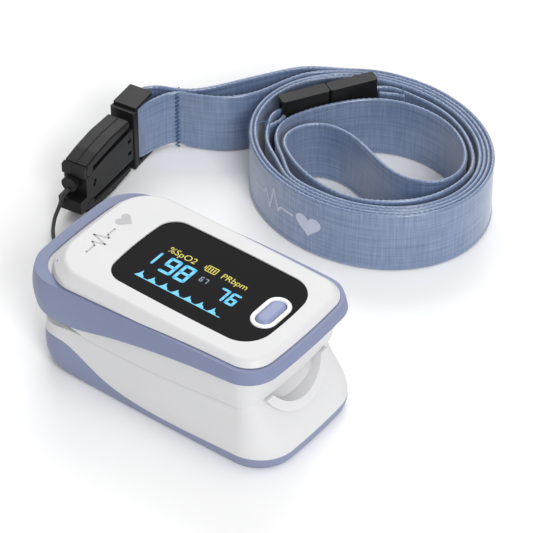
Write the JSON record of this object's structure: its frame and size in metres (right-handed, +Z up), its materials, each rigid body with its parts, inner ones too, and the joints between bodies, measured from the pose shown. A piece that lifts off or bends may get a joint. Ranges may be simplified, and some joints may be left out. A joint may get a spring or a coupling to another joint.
{
  "type": "fingertip pulse oximeter",
  "caption": "Fingertip pulse oximeter: sprung clamp halves round a finger channel, a colour display and button on top, a battery door below, and a neck lanyard on a quick-release clip.",
  "frame": {"origin": "middle of the oximeter's base, on the surface that it stands on; the lanyard doesn't count", "axes": "+Z up, +X along the oximeter towards the finger mouth, +Y towards the side on which the lanyard lies"},
  "size_m": [0.0917, 0.1121, 0.0289],
  "materials": {
    "cover_white": "satin",
    "housing_white": "satin",
    "band_blue": "satin",
    "trim_blue": "satin",
    "window_dark": "gloss",
    "display_dark": "gloss",
    "button_blue": "satin",
    "bezel_white": "gloss",
    "pad_grey": "matte",
    "steel": "brushed",
    "spring_steel": "satin",
    "cell_jacket": "satin",
    "board_green": "satin",
    "led_clear": "gloss",
    "sensor_dark": "gloss",
    "switch_black": "matte",
    "clip_black": "matte",
    "strap_blue": "satin weave",
    "thread_blue": "matte",
    "cord_black": "braided"
  },
  "bodies": {
    "lower": {"lower_shell": "housing_white", "bottom_cover": "trim_blue", "aaa_cells": "cell_jacket", "contact_spring": "spring_steel", "contact_plates": "steel", "finger_pad": "pad_grey", "mouth_lip": "housing_white", "photodetector": "sensor_dark", "sensor_window": "window_dark", "hinge_pin": "steel", "torsion_spring": "spring_steel", "base_screws": "steel", "lanyard_post": "steel", "cord_knot": "cord_black", "loop_cord": "cord_black", "clip_body": "clip_black"},
    "upper": {"top_cover": "cover_white", "side_band": "band_blue", "upper_housing": "housing_white", "display_window": "window_dark", "button_bezel": "bezel_white", "tact_switch": "switch_black", "oled_module": "display_dark", "main_board": "board_green", "board_screws": "steel", "led_emitter": "led_clear", "upper_pad": "pad_grey"},
    "button": {"power_button": "button_blue"},
    "door": {"battery_door": "housing_white"},
    "lever_top": {"clip_lever_top": "clip_black"},
    "lever_bottom": {"clip_lever_bottom": "clip_black"},
    "strap": {"clip_buckle": "clip_black", "strap_loop": "strap_blue", "strap_short": "strap_blue", "strap_long": "strap_blue", "strap_stitching": "thread_blue", "breakaway_socket": "clip_black", "breakaway_plug": "clip_black"}
  },
  "joints": [
    {"name": "clamp_hinge", "type": "hinge", "parent": "lower", "child": "upper", "pos_m": [-0.016, 0, 0.0162], "axis": [0, -1, 0], "range_deg": [0, 15], "stiffness_Nm_per_rad": 0.15, "springref_deg": -17.19},
    {"name": "button_press", "type": "slide", "parent": "upper", "child": "button", "axis": [0, 0, -1], "range_m": [0, 0.0005], "stiffness_N_per_m": 800, "springref_m": -0.0003},
    {"name": "door_slide", "type": "slide", "parent": "lower", "child": "door", "axis": [-1, 0, 0], "range_m": [0, 0.044]},
    {"name": "lever_top_press", "type": "hinge", "parent": "lower", "child": "lever_top", "pos_m": [-0.05279, 0.02646, 0.0125], "axis": [-0.9914, -0.1305, 0], "range_deg": [0, 2.8], "stiffness_Nm_per_rad": 0.1, "springref_deg": -1.15},
    {"name": "lever_bottom_press", "type": "hinge", "parent": "lower", "child": "lever_bottom", "pos_m": [-0.05279, 0.02646, 0.0033], "axis": [0.9914, 0.1305, 0], "range_deg": [0, 2.8], "stiffness_Nm_per_rad": 0.1, "springref_deg": -1.15},
    {"name": "clip_pull", "type": "slide", "parent": "lower", "child": "strap", "axis": [-0.1305, 0.9914, 0], "range_m": [0, 0.025]}
  ]
}
